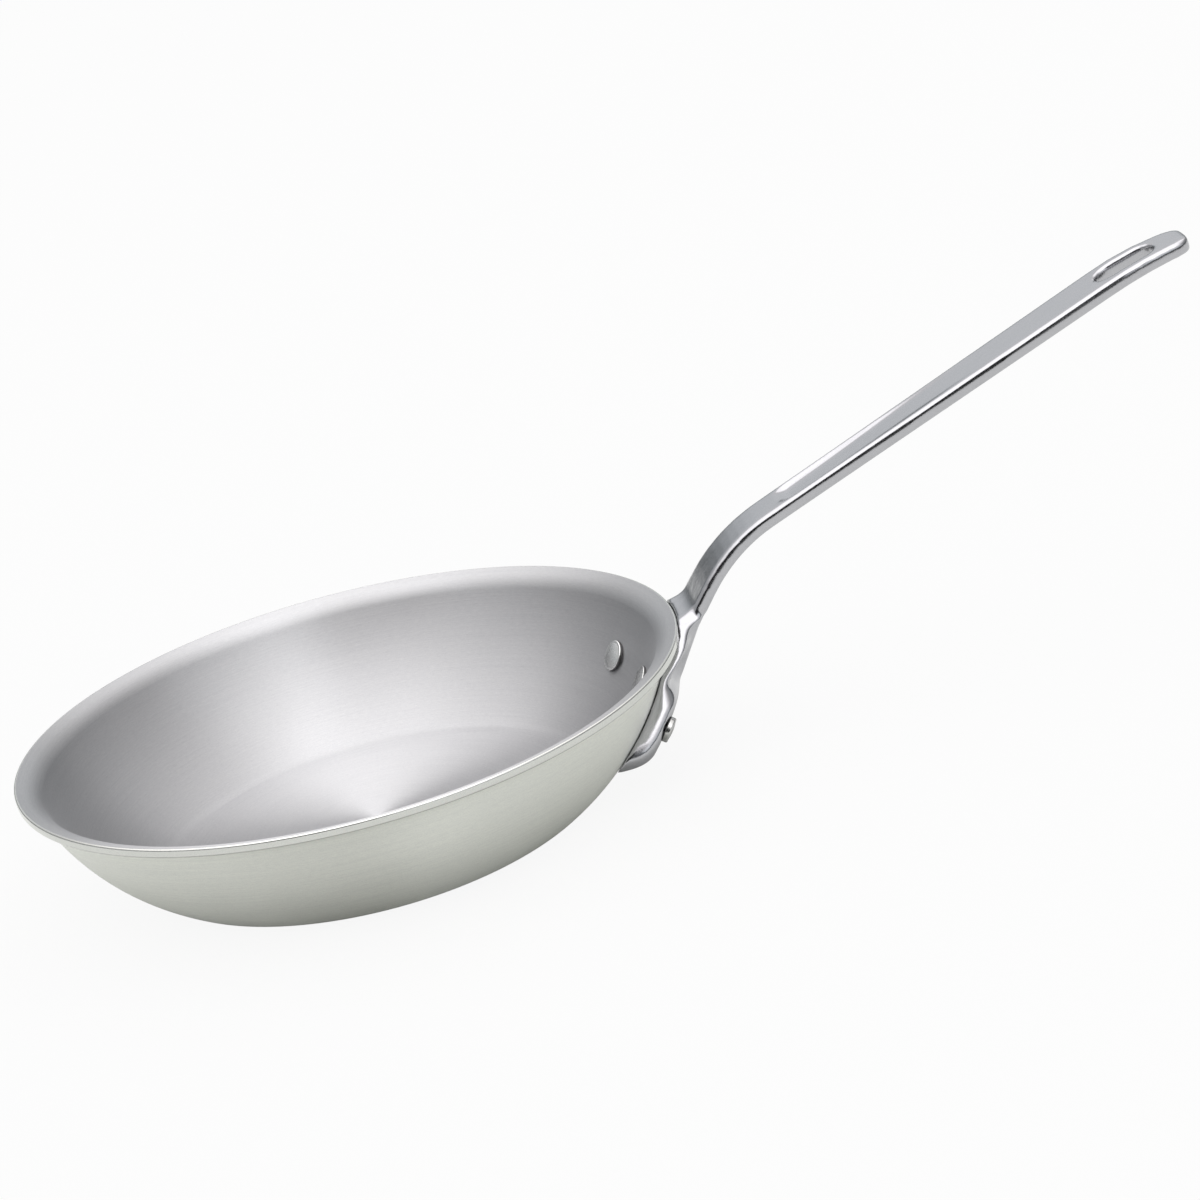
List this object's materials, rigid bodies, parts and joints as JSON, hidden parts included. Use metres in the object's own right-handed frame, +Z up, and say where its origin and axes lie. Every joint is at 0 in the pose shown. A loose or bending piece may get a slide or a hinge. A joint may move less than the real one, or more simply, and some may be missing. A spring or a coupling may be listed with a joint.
{
  "type": "omelette pan",
  "caption": "Shallow round omelette pan with curved sloping sides and a flared lip, and a long flat upswept handle with a hanging slot, riveted to the outside of the wall.",
  "frame": {"origin": "centre of the flat underside of the base, on the pan's axis", "axes": "+Z up along the pan's axis, +X towards the tip of the handle, +Y to the left of someone who looks along the handle from the pan"},
  "size_m": [0.4439, 0.24, 0.1374],
  "materials": {
    "pan": "satin, spun",
    "handle": "tumbled casting",
    "rivets": "satin"
  },
  "bodies": {
    "root": {"pan_body": "pan", "handle": "handle", "rivet_left": "rivets", "rivet_center": "rivets", "rivet_right": "rivets"}
  },
  "joints": []
}
